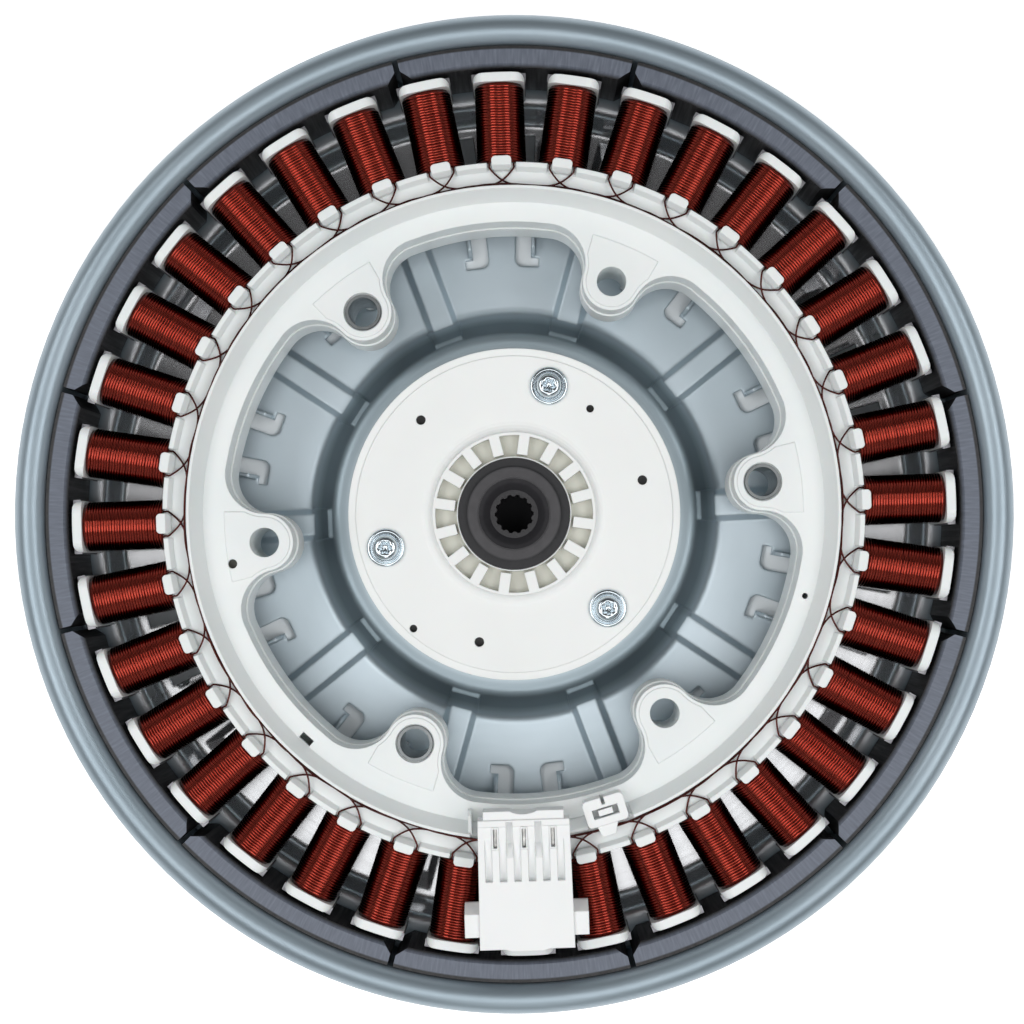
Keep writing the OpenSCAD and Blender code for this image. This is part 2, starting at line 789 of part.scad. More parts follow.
module front_insulator() {
    color("whitesmoke") translate([0, 0, mid_z]) difference() {
        union() {
            translate([0, 0, half_gap]) linear_extrude(frame_face_z - half_gap) frame_2d(0);
            translate([0, 0, frame_face_z - 1]) linear_extrude(1 + pad_h) boss_pads_2d();
            low_wall();
            end_rib();
            difference() {
                rotate_extrude() polygon([
                    [frame_r - slope_w, frame_face_z - 1],
                    [frame_r - slope_w, frame_face_z],
                    [frame_r - wall_edge_w, wall_z],
                    [frame_r, wall_z],
                    [frame_r, frame_face_z - 1]
                ]);
                at_clock(180) translate([0, 0, frame_face_z]) linear_extrude(far) wall_gap_2d(0);
            }
            difference() {
                rotate_extrude() polygon([
                    [channel_in_r, channel_z - channel_t - 1],
                    [channel_in_r, channel_z],
                    [lip_foot_r, channel_z],
                    [liner_r - liner_t, lip_z],
                    [liner_r, lip_z],
                    [liner_r, half_gap],
                    [liner_r - liner_t, half_gap],
                    [liner_r - liner_t, channel_z - channel_t],
                    [frame_r, channel_z - channel_t],
                    [frame_r, channel_z - channel_t - 1]
                ]);
                for (i = [0:tooth_count - 1]) at_clock(tooth_pitch * i)
                    translate([-tab_w / 2 - notch_w, lip_foot_r - 1, channel_z + 0.2])
                        cube([tab_w + 2 * notch_w, liner_r - lip_foot_r + 2, far]);
            }
            for (i = [0:tooth_count - 1]) at_clock(tooth_pitch * i) {
                tooth_sleeve();
                tab();
            }
        }
        translate([0, 0, -1]) linear_extrude(frame_face_z - frame_wall + 1)
            ring_2d(frame_in_r + frame_wall, frame_r - frame_wall);
        core_room();
        boss_holes();
        frame_marks();
    }
}

module rear_insulator() {
    back_ribs = 18;
    slot_w = 4;
    slot_h = 1.4;
    color("whitesmoke") translate([0, 0, mid_z]) mirror([0, 0, 1]) difference() {
        union() {
            translate([0, 0, half_gap]) linear_extrude(frame_back_h - half_gap) frame_2d(parting_step);
            rotate_extrude() polygon([
                [frame_r - 1, channel_z - channel_t],
                [frame_r - 1, channel_z],
                [liner_r, channel_z],
                [liner_r, half_gap],
                [liner_r - liner_t, half_gap],
                [liner_r - liner_t, channel_z - channel_t]
            ]);
            for (i = [0:tooth_count - 1]) at_clock(tooth_pitch * i) tooth_sleeve();
        }
        difference() {
            translate([0, 0, frame_wall]) linear_extrude(far)
                ring_2d(frame_in_r + frame_wall, frame_r - frame_wall);
            for (i = [0:back_ribs - 1]) at_clock(360 / back_ribs * i)
                translate([-0.9, 0, 0]) cube([1.8, frame_r, far]);
        }
        for (x = [-3.9, 4.4]) at_clock(180) translate([x - slot_w / 2, frame_in_r - 3, frame_back_h - 8])
            cube([slot_w, 4, slot_h]);
        core_room();
        boss_holes();
    }
}

// Half-width of the winding against the distance along the coil, with a groove between the turns
function turn_wave(half) = [
    for (k = [0:2 * coil_turns]) [half - (k % 2 == 0 ? turn_groove : 0), coil_l * k / (2 * coil_turns)]
];

// Wound coil: flat flanks and half-round crowns, both with the turns' grooves
module coil(i) {
    half = coil_w / 2;
    straight = coil_top - half;
    wave = turn_wave(half);
    other_side = [for (k = [len(wave) - 1:-1:0]) [-wave[k][0], wave[k][1]]];
    color("saddlebrown") translate([0, 0, mid_z]) at_clock(tooth_pitch * (i - 1)) difference() {
        translate([0, coil_out_r, 0]) rotate([90, 0, 0]) {
            for (turn = [0, 180]) rotate(turn) translate([0, straight, 0])
                rotate_extrude(angle = 180) polygon(concat([[0, 0]], wave, [[0, coil_l]]));
            rotate([90, 0, 0]) translate([0, 0, -straight]) linear_extrude(2 * straight)
                polygon(concat(wave, other_side));
        }
        along_radius(coil_in_r - 1, coil_out_r + 1) stadium_2d(sleeve_w + 2 * fit, sleeve_half_h + fit);
    }
}

// Route of one crossover wire, as [clock angle, radius, height], from its tab to the one wire_step on
function wire_route(level) =
    let (
        exit_angle = atan((tab_w / 2 + notch_w / 2) / liner_r),
        exit_r = liner_r - liner_t / 2,
        hook_r = tab_in_r + 0.6,
        hook_angle = atan((tab_w / 2 + notch_w / 2 - 0.3) / tab_in_r),
        z = wire_base_z + level * wire_level,
        split = wire_level / 2 + 0.02,
        turn_angle = 2.6,
        last = wire_step * tooth_pitch,
        lane_step = (last - 2 * turn_angle) / (wire_arc_points - 1)
    )
    concat(
        [[-exit_angle, liner_r, z + split]],
        [[-exit_angle, exit_r, z + split]],
        [[-hook_angle, hook_r, z + split]],
        [[0, wire_cross_r, z + split]],
        [for (k = [0:wire_arc_points - 1]) [turn_angle + lane_step * k, wire_lane_r, z]],
        [[last, wire_cross_r, z - split]],
        [[last + hook_angle, hook_r, z - split]],
        [[last + exit_angle, exit_r, z - split]],
        [[last + exit_angle, liner_r, z - split]]
    );

// A route's [clock angle, radius, height] as a point
function route_point(p) = [p[1] * sin(p[0]), p[1] * cos(p[0]), p[2]];

// Ring of points round point i of a path, square to it
function tube_ring(path, i, r, sides) =
    let (
        a = path[max(i - 1, 0)],
        b = path[min(i + 1, len(path) - 1)],
        along = (b - a) / norm(b - a),
        side = cross(along, [0, 0, 1]),
        u = side / norm(side),
        v = cross(u, along)
    )
    [for (k = [0:sides - 1]) path[i] + r * (u * cos(360 * k / sides) + v * sin(360 * k / sides))];

// Closed tube swept along a path
module tube(path, d, sides) {
    n = len(path);
    points = [for (i = [0:n - 1]) each tube_ring(path, i, d / 2, sides)];
    walls = [
        for (i = [0:n - 2], k = [0:sides - 1])
            [k, (k + 1) % sides, (k + 1) % sides + sides, k + sides] + i * sides * [1, 1, 1, 1]
    ];
    ends = [[for (k = [sides - 1:-1:0]) k], [for (k = [0:sides - 1]) (n - 1) * sides + k]];
    polyhedron(points, concat(walls, ends));
}

module crossover_wires() {
    color("maroon") for (i = [0:tooth_count - 1]) at_clock(tooth_pitch * i)
        tube([for (p = wire_route(i % wire_step)) route_point(p)], wire_d, wire_sides);
}

module mounting_sleeves() {
    sleeve_h = frame_back_h + frame_face_z - 0.2;
    color("silver") for (i = [1:2:boss_count - 1])
        at_clock(boss_clock + 360 / boss_count * i, boss_r0)
            translate([0, 0, mid_z - frame_back_h]) difference() {
                cylinder(h = sleeve_h, d = boss_hole_d + 2 * bush_wall);
                translate([0, 0, -1]) cylinder(h = far, d = boss_hole_d);
            }
}

// Plan of the connector housing, slightly wider at its outer end, with a shallow bulge there
module plug_plan_2d() {
    polygon([
        [-plug_in_w / 2, plug_in_r],
        [plug_in_w / 2, plug_in_r],
        [plug_out_w / 2, plug_out_r],
        [bulge_w / 2 + 1, plug_out_r],
        [bulge_w / 2 - 1, plug_out_r + bulge_l],
        [-bulge_w / 2 + 1, plug_out_r + bulge_l],
        [-bulge_w / 2 - 1, plug_out_r],
        [-plug_out_w / 2, plug_out_r]
    ]);
}

// Groove sunk along the connector's top, as its depth against the radius
module top_groove(width, profile) {
    across(width) polygon([for (p = profile) [p[0], plug_top_z - p[1]]]);
}

module power_connector() {
    blade_hole = blade_t + 2 * slot_clear;
    socket_w = plug_out_w - 2 * socket_wall - 1;
    ear_out = plug_out_r - ear_inset;
    bar_r = plug_in_r + lip_l;
    color("white") at_clock(180) difference() {
        union() {
            difference() {
                translate([0, 0, plug_z]) linear_extrude(plug_h) plug_plan_2d();
                for (side = [-1, 1]) translate([side * (lip_half_w + far / 2), plug_in_r, 0])
                    cube([far, 2 * lip_l, far], center = true);
                translate([0, plug_in_r - 8, 0]) cylinder(h = far, r = 9);
            }
            translate([-plug_in_w / 2, bar_r, plug_top_z - 1]) cube([plug_in_w, bar_l, 1 + bar_rise]);
            translate([-plug_foot_w / 2, plug_in_r + 1.2, foot_z])
                cube([plug_foot_w, plug_foot_l - 1.2, plug_z - foot_z + 1]);
            for (side = [-1, 1]) translate([side * (plug_out_w + ear_w - 1) / 2, 0, 0])
                across(ear_w + 1) polygon([
                    [ear_out - ear_l - ear_slope, plug_z],
                    [ear_out - ear_l - ear_slope, plug_z + 2],
                    [ear_out - ear_l, plug_top_z - 1],
                    [ear_out, plug_top_z - 1],
                    [ear_out, plug_z]
                ]);
            for (k = [-1:1]) translate([k * terminal_pitch, slit_in_r, plug_top_z - 1]) linear_extrude(1.3)
                strip_2d(blade_hole + 2 * slit_rim, -slit_rim, slit_l + slit_rim);
        }
        for (k = [-2.5:1:2.5]) translate([k * groove_step, 0, 0])
            top_groove(groove_w, [
                [groove_in_r, -1],
                [groove_in_r, 0],
                [roof_r, groove_depth],
                [roof_r, -1]
            ]);
        for (side = [-1, 1]) translate([side * groove_step, 0, 0]) top_groove(lane_w, [
            [bar_r + 0.6, -1],
            [bar_r + 0.6, lane_depth],
            [bar_r + lane_l, lane_depth],
            [bar_r + lane_l + 6, -1]
        ]);
        for (k = [-1:1]) translate([k * terminal_pitch - blade_hole / 2, 0, 0]) {
            translate([0, slit_in_r - 0.2, blade_z - blade_w / 2 - slot_clear])
                cube([blade_hole, plug_l, blade_w + 2 * slot_clear]);
            translate([0, slit_in_r, blade_z]) cube([blade_hole, slit_l, far]);
        }
        translate([-socket_w / 2, plug_out_r - socket_l, plug_z + socket_wall])
            cube([socket_w, socket_l + 2, plug_h - 2 * socket_wall]);
    }
}

module power_terminals() {
    blade_l = plug_out_r - ear_inset - 1.6 - slit_in_r;
    color("lightgray") at_clock(180) for (k = [-1:1]) translate([k * terminal_pitch, 0, 0])
        translate([-blade_t / 2, slit_in_r, blade_z - blade_w / 2]) difference() {
            cube([blade_t, blade_l, blade_w]);
            translate([-1, blade_l - 1, -1]) rotate([45, 0, 0]) cube([3, 2, 2]);
        }
}

// Lead clip: a block on the ring's face with a pocket for the wire, and a nose over the wire channel
module lead_clip() {
    base = mid_z + frame_face_z;
    nose_z = wire_base_z + wire_step * wire_level + 0.2;
    nose_top_z = base + clip_h - 0.6;
    color("white") at_clock(clip_clock) translate([0, clip_in_r, 0]) difference() {
        union() {
            translate([0, clip_block_l / 2, base]) linear_extrude(clip_h)
                round_rect_2d(clip_w, clip_block_l, 1.4);
            translate([0, 0, nose_z]) linear_extrude(nose_top_z - nose_z)
                polygon([[-4.4, 5], [-1, clip_l], [3, clip_l], [4.4, 5]]);
        }
        translate([-0.5, -1, base - 1]) cube([1, 3.2, far]);
        translate([-clip_pocket_w / 2, 3.1, base + clip_h - clip_depth]) difference() {
            cube([clip_pocket_w, clip_pocket_l, far]);
            translate([(clip_pocket_w - clip_bar_w) / 2, (clip_pocket_l - clip_bar_l) / 2, -1])
                cube([clip_bar_w, clip_bar_l, clip_depth + 0.6]);
        }
    }
}

module hub_holes() {
    for (i = [0:screw_count - 1]) at_clock(rotor_clock + 360 / screw_count * i) {
        translate([0, screw_pcd / 2, 0]) cylinder(h = far, d = screw_d + 2 * fit);
        at_clock(hub_hole_angle, screw_pcd / 2) translate([0, 0, seat_z + 1])
            cylinder(h = far, d = locating_d);
    }
    for (place = [[20.6, 0.98], [206.1, 1.15]]) at_clock(rotor_clock + place[0], screw_pcd / 2 * place[1])
        translate([0, 0, seat_z + 1]) cylinder(h = far, d = pin_hole_d);
}

module rotor_hub() {
    edge_step = 0.6;
    lower_r = seat_hole_r - 0.3;
    edge_z = hub_top_z - edge_step;
    edge_r = hub_r - hub_edge_w;
    bore_r = bush_r + fit;
    blend = [for (a = [0:18:90]) [core_blend_r * (1 - sin(a)), hub_core_h * (1 - cos(a))]];
    color("white") difference() {
        rotate_extrude() polygon(concat(
            [[bore_r, hub_back_z], [lower_r, hub_back_z], [lower_r, seat_z], [hub_r, seat_z]],
            [[hub_r, edge_z], [edge_r, edge_z], [edge_r, hub_top_z]],
            [for (p = blend) [hub_core_r, hub_top_z] + p],
            [[bore_r, core_top_z]]
        ));
        difference() {
            translate([0, 0, pocket_z]) linear_extrude(far) ring_2d(pocket_in_r, pocket_out_r);
            for (i = [0:hub_rib_count - 1]) at_clock(rotor_clock + 3.7 + 360 / hub_rib_count * (i + 0.5))
                translate([-hub_rib_w / 2, pocket_in_r + 0.7, 0]) cube([hub_rib_w, 9, far]);
        }
        translate([0, 0, core_top_z - 1]) cylinder(h = far, r = bush_flange_r + fit);
        for (a = [15:30:345]) at_clock(rotor_clock + a, (lower_r + bush_r) / 2)
            translate([0, 0, hub_back_z - 1]) cylinder(h = 7, r = hub_back_pocket_r);
        hub_holes();
    }
}

module spline_bush() {
    flange_z = core_top_z - 1 + fit;
    flange_top_z = core_top_z + 0.4;
    collar_z = flange_top_z + 1.5;
    cone_z = collar_z - 5.5;
    color("#26262a") difference() {
        rotate_extrude() polygon([
            [spline_r - 1, hub_back_z],
            [bush_r, hub_back_z],
            [bush_r, flange_z],
            [bush_flange_r, flange_z],
            [bush_flange_r, flange_top_z],
            [collar_r, flange_top_z],
            [collar_r, collar_z],
            [mouth_r + 0.4, collar_z],
            [mouth_r + 0.4, collar_z - 0.5],
            [mouth_r, collar_z - 0.5],
            [mouth_r, collar_z - 1.2],
            [spline_r + 1.4, cone_z],
            [spline_r - 1, cone_z]
        ]);
        translate([0, 0, -1]) linear_extrude(far) difference() {
            circle(spline_r);
            for (i = [0:spline_teeth - 1]) rotate(360 / spline_teeth * i)
                translate([0, spline_r + 0.3]) circle(spline_tooth_h + 0.3, $fn = 24);
        }
    }
}

module hub_screws() {
    washer_z = hub_top_z + 0.05;
    head_z = washer_z + washer_t;
    tail_z = seat_z - sheet_t - screw_tail;
    color("gainsboro") for (i = [0:screw_count - 1])
        at_clock(rotor_clock + 360 / screw_count * i, screw_pcd / 2) difference() {
            union() {
                translate([0, 0, tail_z]) cylinder(h = head_z - tail_z + 1, d = screw_d);
                translate([0, 0, washer_z]) cylinder(h = washer_t, d = washer_d);
                translate([0, 0, head_z - seam]) cylinder(h = screw_head_h, d = screw_head_d);
            }
            translate([0, 0, head_z + screw_head_h - 1.6]) for (turn = [0, 90]) rotate(turn)
                translate([-0.7, -2.2, 0]) cube([1.4, 4.4, far]);
        }
}

stator_core();
front_insulator();
rear_insulator();
crossover_wires();
power_connector();
power_terminals();
lead_clip();
mounting_sleeves();
rotor_cup();
rotor_hub();
spline_bush();
hub_screws();
for (i = [1:tooth_count]) coil(i);
for (i = [1:magnet_count]) magnet(i);
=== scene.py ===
"""Looks of a direct-drive washing machine motor: the wound stator lies in its outer rotor.

Lengths are in metres, +Z is the shaft axis, and the connector is on the -Y side. A clock angle runs clockwise
from +Y, seen from the open side.
"""

import json
import math
import random

import bpy
from mathutils import Matrix, Vector


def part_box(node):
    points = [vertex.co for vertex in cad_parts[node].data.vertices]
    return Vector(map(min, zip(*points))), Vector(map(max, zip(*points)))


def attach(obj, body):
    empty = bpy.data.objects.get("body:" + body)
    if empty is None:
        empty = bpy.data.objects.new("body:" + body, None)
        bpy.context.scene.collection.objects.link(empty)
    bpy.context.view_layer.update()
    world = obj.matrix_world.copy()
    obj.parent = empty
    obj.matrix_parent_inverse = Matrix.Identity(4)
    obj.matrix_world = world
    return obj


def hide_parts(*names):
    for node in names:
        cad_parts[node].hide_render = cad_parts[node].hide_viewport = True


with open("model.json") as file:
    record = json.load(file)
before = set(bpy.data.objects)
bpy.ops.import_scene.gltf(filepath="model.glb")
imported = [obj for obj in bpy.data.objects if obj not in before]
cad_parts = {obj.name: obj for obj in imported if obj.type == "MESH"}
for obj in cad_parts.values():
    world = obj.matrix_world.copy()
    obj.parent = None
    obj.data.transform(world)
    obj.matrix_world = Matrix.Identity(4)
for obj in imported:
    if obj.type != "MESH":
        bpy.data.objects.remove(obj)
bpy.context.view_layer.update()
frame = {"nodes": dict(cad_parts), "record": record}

MM = 0.001
RNG = random.Random(36)


def clock(angle, radius, z=0.0):
    """Point at a clock angle in degrees."""
    a = math.radians(angle)
    return Vector((radius * math.sin(a), radius * math.cos(a), z))


def turned(point, angle):
    """Point turned clockwise about the shaft axis by an angle in degrees."""
    a = math.radians(angle)
    x, y, z = point
    return Vector((x * math.cos(a) + y * math.sin(a), -x * math.sin(a) + y * math.cos(a), z))


# Sizes read from the frame

COILS = sorted(name for name in frame["nodes"] if name.startswith("coil_"))
MAGNETS = sorted(name for name in frame["nodes"] if name.startswith("magnet_"))
COIL_PITCH = 360 / len(COILS)
RIM_R, _, RIM_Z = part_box("rotor_cup")[1]
(coil_left, COIL_IN, COIL_LOW), (coil_right, COIL_OUT, COIL_TOP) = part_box(COILS[0])
COIL_W = coil_right - coil_left
COIL_MID = (COIL_LOW + COIL_TOP) / 2
MAGNET_R = max(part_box(name)[1][0] for name in MAGNETS)
MAGNET_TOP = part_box(MAGNETS[0])[1][2]
HUB_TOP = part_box("rotor_hub")[1][2]
LEAD_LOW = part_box("crossover_wires")[0][2]
SCREW_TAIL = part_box("hub_screws")[0][2]
SCREW_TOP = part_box("hub_screws")[1][2]

# Sizes of the part's source that the frame doesn't give

RING_WALL_R = 97.95 * MM
TAB_IN_R = 103.05 * MM
TAB_W = 6 * MM
NOTCH_W = 1.4 * MM
LINER_T = 1.4 * MM
LINER_R = COIL_IN - 0.1 * MM
RING_HOLE = clock(261.5, 86.25 * MM, 40.3 * MM)
SCREW_R = 41.5 * MM
SCREW_CLOCKS = (17.15, 137.15, 257.15)


# Node trees


class Nodes:
    """Short calls for the nodes of one tree."""

    def __init__(self, tree):
        self.tree = tree

    def add(self, kind, **settings):
        node = self.tree.nodes.new("ShaderNode" + kind)
        for name, value in settings.items():
            setattr(node, name, value)
        return node

    def feed(self, socket, value):
        """Links the socket to another node's output, or sets it to a number, a vector or a colour."""
        if isinstance(value, bpy.types.NodeSocket):
            self.tree.links.new(value, socket)
        elif isinstance(value, tuple):
            socket.default_value = (*value, 1)
        else:
            socket.default_value = value

    def maths(self, operation, first, second=0.0):
        node = self.add("Math", operation=operation)
        self.feed(node.inputs[0], first)
        self.feed(node.inputs[1], second)
        return node.outputs[0]

    def range(self, value, low, high, to_low=0.0, to_high=1.0):
        """Maps low to high onto to_low to to_high, and holds the ends."""
        node = self.add("MapRange")
        names = ("Value", "From Min", "From Max", "To Min", "To Max")
        for name, number in zip(names, (value, low, high, to_low, to_high)):
            self.feed(node.inputs[name], number)
        return node.outputs["Result"]

    def seen(self, *kinds):
        """1 for rays of these kinds, as Light Path names them, and 0 for others."""
        path = self.add("LightPath")
        found = path.outputs[f"Is {kinds[0]} Ray"]
        for kind in kinds[1:]:
            found = self.maths("MAXIMUM", found, path.outputs[f"Is {kind} Ray"])
        return found


class Shader(Nodes):
    """A material under construction."""

    def __init__(self, name):
        self.material = bpy.data.materials.new(name)
        self.material.use_nodes = True
        super().__init__(self.material.node_tree)
        self.bsdf = self.tree.nodes["Principled BSDF"]
        self.coords = self.add("TexCoord").outputs["Object"]

    def set(self, **values):
        for name, value in values.items():
            self.bsdf.inputs[name.replace("_", " ")].default_value = value

    def link(self, source, target):
        self.feed(self.bsdf.inputs[target], source)

    def noise(self, scale, detail, vector=None):
        node = self.add("TexNoise")
        self.feed(node.inputs["Scale"], scale)
        self.feed(node.inputs["Detail"], detail)
        self.feed(node.inputs["Vector"], vector or self.coords)
        return node.outputs["Fac"]

    def ramp(self, value, stops):
        node = self.add("ValToRGB")
        elements = node.color_ramp.elements
        while len(elements) < len(stops):
            elements.new(0.5)
        for element, (place, colour) in zip(elements, stops):
            element.position = place
            element.color = (*colour, 1)
        self.feed(node.inputs["Fac"], value)
        return node.outputs["Color"]

    def cloud(self, scale, detail, dark, bright):
        """Soft patches between two colours."""
        return self.ramp(self.noise(scale, detail), [(0.3, dark), (0.7, bright)])

    def mix(self, factor, first, second):
        node = self.add("Mix", data_type="RGBA")
        sockets = [s for s in node.inputs if s.enabled]
        for socket, value in zip(sockets, (factor, first, second)):
            self.feed(socket, value)
        return [s for s in node.outputs if s.enabled][0]

    def split(self):
        """The X, Y and Z of the object's own coordinates."""
        node = self.add("SeparateXYZ")
        self.feed(node.inputs[0], self.coords)
        return node.outputs

    def height(self):
        return self.split()[2]

    def radius(self):
        """Distance from the shaft axis."""
        x, y, _ = self.split()
        square = self.maths("ADD", self.maths("MULTIPLY", x, x), self.maths("MULTIPLY", y, y))
        return self.maths("SQRT", square)

    def polar(self, angle_scale, radius_scale, z_scale):
        """Coordinates that run round, outwards and up, for streaks that follow the ring."""
        x, y, z = self.split()
        node = self.add("CombineXYZ")
        values = (self.maths("ARCTAN2", y, x), self.radius(), z)
        for socket, value, scale in zip(node.inputs, values, (angle_scale, radius_scale, z_scale)):
            self.feed(socket, self.maths("MULTIPLY", value, scale))
        return node.outputs[0]

    def between(self, value, low, high):
        """1 between two fades, each given as where it starts and ends."""
        return self.maths("MULTIPLY", self.range(value, *low), self.range(value, *high, 1.0, 0.0))

    def roughness(self, texture, low, high):
        self.link(self.range(texture, 0.3, 0.7, low, high), "Roughness")

    def bump(self, height, strength, distance, edge=0.0):
        """Relief from a height; with an edge radius, sharp edges are shaded as softened ones."""
        node = self.add("Bump")
        if edge:
            soft = self.add("Bevel", samples=6)
            self.feed(soft.inputs["Radius"], edge)
            self.feed(node.inputs["Normal"], soft.outputs["Normal"])
        self.feed(node.inputs["Strength"], strength)
        self.feed(node.inputs["Distance"], distance)
        self.feed(node.inputs["Height"], height)
        self.link(node.outputs["Normal"], "Normal")


# Camera and light

# The photograph in pixels: its side, the middle of the rim and the rim's radius
PHOTO_PX = 1024
CENTRE_PX = Vector((513.1, 511.4))
RIM_PX = 502.6
# The camera: its height above the rim, how far right and down of the middle it is, and the picture's turn
CAMERA_HEIGHT = 0.68
CAMERA_OFF = Vector((0.0071, 0.0162))
PHOTO_TURN = 1.95
SENSOR = 36.0
CLIP = (0.01, 20)

# Clock angle in the picture, tilt off the vertical, distance, width, length and watts of each softbox
LAMPS = {
    "left": (270, 33, 1.25, 0.42, 0.95, 4.3),
    "right": (90, 33, 1.25, 0.42, 0.95, 4.1),
    "overhead": (180, 14, 1.3, 0.62, 1.0, 3.4),
    "front": (180, 42, 1.25, 0.9, 0.3, 1.3),
}
ROOM_FILL = 0.28
ROOM_TOP = 0.1


def make_camera():
    """Looks down at the open side, with the connector 2 degrees off the bottom, as in the photograph."""
    data = bpy.data.cameras.new("camera")
    camera = bpy.data.objects.new("camera", data)
    bpy.context.scene.collection.objects.link(camera)
    up = clock(PHOTO_TURN, 1.0)
    right = clock(PHOTO_TURN + 90, 1.0)
    px_size = RIM_R / RIM_PX
    shift = (CENTRE_PX - Vector((PHOTO_PX / 2, PHOTO_PX / 2))) * px_size
    aim = Vector((0, 0, RIM_Z)) - right * shift.x + up * shift.y
    place = aim + right * CAMERA_OFF.x - up * CAMERA_OFF.y + Vector((0, 0, CAMERA_HEIGHT))
    back = (place - aim).normalized()
    side = up.cross(back).normalized()
    turn = Matrix((side, back.cross(side), back)).transposed().to_4x4()
    camera.matrix_world = Matrix.Translation(place) @ turn
    data.sensor_width = SENSOR
    data.lens = SENSOR * (place - aim).length / (PHOTO_PX * px_size)
    data.clip_start, data.clip_end = CLIP
    bpy.context.scene.camera = camera


def softbox(name, side, tilt, distance, width, length, power):
    """Lamp over the object, tilted off the vertical towards a clock angle of the picture."""
    data = bpy.data.lights.new(name, "AREA")
    data.shape = "RECTANGLE"
    data.size = width
    data.size_y = length
    data.energy = power
    lamp = bpy.data.objects.new(name, data)
    bpy.context.scene.collection.objects.link(lamp)
    lean = math.radians(tilt)
    away = clock(PHOTO_TURN + side, math.sin(lean), math.cos(lean))
    across = clock(PHOTO_TURN + side + 90, 1.0)
    turn = Matrix((across.cross(away), across, away)).transposed().to_4x4()
    lamp.matrix_world = Matrix.Translation(away * distance) @ turn


def make_light():
    """The softboxes, and a room that is white to the camera, dark overhead in mirrors, and dim as a light."""
    for name, settings in LAMPS.items():
        softbox(name, *settings)
    world = bpy.data.worlds.new("studio")
    bpy.context.scene.world = world
    world.use_nodes = True
    w = Nodes(world.node_tree)
    back = w.tree.nodes["Background"]
    w.feed(back.inputs["Color"], (1.0, 1.0, 1.0))
    height = w.add("SeparateXYZ")
    w.feed(height.inputs[0], w.add("TexCoord").outputs["Generated"])
    overhead = w.range(height.outputs["Z"], 0.05, 0.5, 1.0, ROOM_TOP)
    mirrored = w.maths("MULTIPLY", w.seen("Glossy", "Transmission"), overhead)
    shown = w.maths("MAXIMUM", w.seen("Camera"), mirrored)
    fill = w.range(w.seen("Diffuse"), 0.0, 1.0, 0.0, ROOM_FILL)
    w.feed(back.inputs["Strength"], w.maths("MAXIMUM", shown, fill))


# Materials

BLACK = (0.0, 0.0, 0.0)
# Soft edges that are shaded on plastic and on pressed sheet
PLASTIC_EDGE = 0.5 * MM
SHEET_EDGE = 1.2 * MM
# Depths below a coil's top between which the painted shade on its flanks lightens
FLANK_SHADE_FADE = (4.8 * MM, 0.8 * MM)
# Depths below a magnet's top between which the ground face begins, and distances from its outer face over
# which a painted shade of the gap at the cup's wall gives way to it
GRIND_FADE = (1.1 * MM, 0.2 * MM)
MAGNET_GAP_SHADE = (1.2 * MM, 0.8 * MM)
# Radii where the cup's finish changes: seat of the hub with its painted highlight and painted shade, foot of
# the seat, paler band under the teeth, rim
SEAT_HIGHLIGHT_AND_SHADE = (51.8 * MM, 66 * MM)
SEAT_FOOT = (61 * MM, 66 * MM)
PALE_BAND_START = (100 * MM, 104 * MM)
PALE_BAND_END = (130 * MM, 134 * MM)
POLISH_END = (128 * MM, 132 * MM)
# Parts of the hub: depths below its top of the pockets and of the painted shade in the small holes, and the
# radii round them
POCKET_DEPTH = (3.6 * MM, 0.8 * MM)
HOLE_SHADE_DEPTH = (4.7 * MM, 3.6 * MM)
POCKET_R = (24.7 * MM, 25.3 * MM)
HOLES_IN_R = (31 * MM, 32 * MM)
HOLES_OUT_R = (49.5 * MM, 50.5 * MM)
# Painted shade inside the ring's small hole, as distances from its bottom
RING_HOLE_SHADE_R = (1.7 * MM, 1.9 * MM)
# Pitch of the stacked sheets, pitch of the tool rings on the bush, and the radius that its tones run to
LAMINATION_T = 0.5 * MM
TOOL_PITCH = 0.32 * MM
BUSH_TONES_R = 20 * MM


def plastic_surface(s, glow, low, high):
    """Satin moulded surface with a fine grain and soft edges."""
    s.set(IOR=1.5, Subsurface_Weight=glow, Subsurface_Scale=0.002)
    s.roughness(s.noise(900, 2), low, high)
    s.bump(s.noise(2400, 2), 0.08, 0.00006, edge=PLASTIC_EDGE)
    return s.material


def white_plastic(name, colour, warm, hole=None):
    """Moulded plastic: faint flow marks in the colour, and painted shade in a small hole if it has one."""
    s = Shader(name)
    white = s.cloud(38, 3, colour, warm)
    if hole:
        offset = s.add("VectorMath", operation="DISTANCE")
        s.feed(offset.inputs[0], s.coords)
        s.feed(offset.inputs[1], hole)
        # Painted shade: near-black inside the small hole
        white = s.mix(s.range(offset.outputs["Value"], *RING_HOLE_SHADE_R, 1.0, 0.0), white, (0.1, 0.1, 0.08))
    s.link(white, "Base Color")
    return plastic_surface(s, 0.06, 0.34, 0.46)


def hub_plastic():
    """White hub: a darker, warmer tone in the pockets round the bush, and painted shade in its small holes.
    """
    s = Shader("hub_plastic")
    white = s.cloud(30, 3, (0.86, 0.875, 0.865), (0.89, 0.905, 0.895))

    def deeper(depth):
        return s.range(s.height(), HUB_TOP - depth[0], HUB_TOP - depth[1], 1.0, 0.0)

    pocket = s.maths("MULTIPLY", deeper(POCKET_DEPTH), s.range(s.radius(), *POCKET_R, 1.0, 0.0))
    # Painted shade: near-black inside the small holes
    hole = s.maths("MULTIPLY", deeper(HOLE_SHADE_DEPTH), s.between(s.radius(), HOLES_IN_R, HOLES_OUT_R))
    s.link(s.mix(hole, s.mix(pocket, white, (0.62, 0.62, 0.55)), (0.08, 0.08, 0.08)), "Base Color")
    return plastic_surface(s, 0.05, 0.36, 0.48)


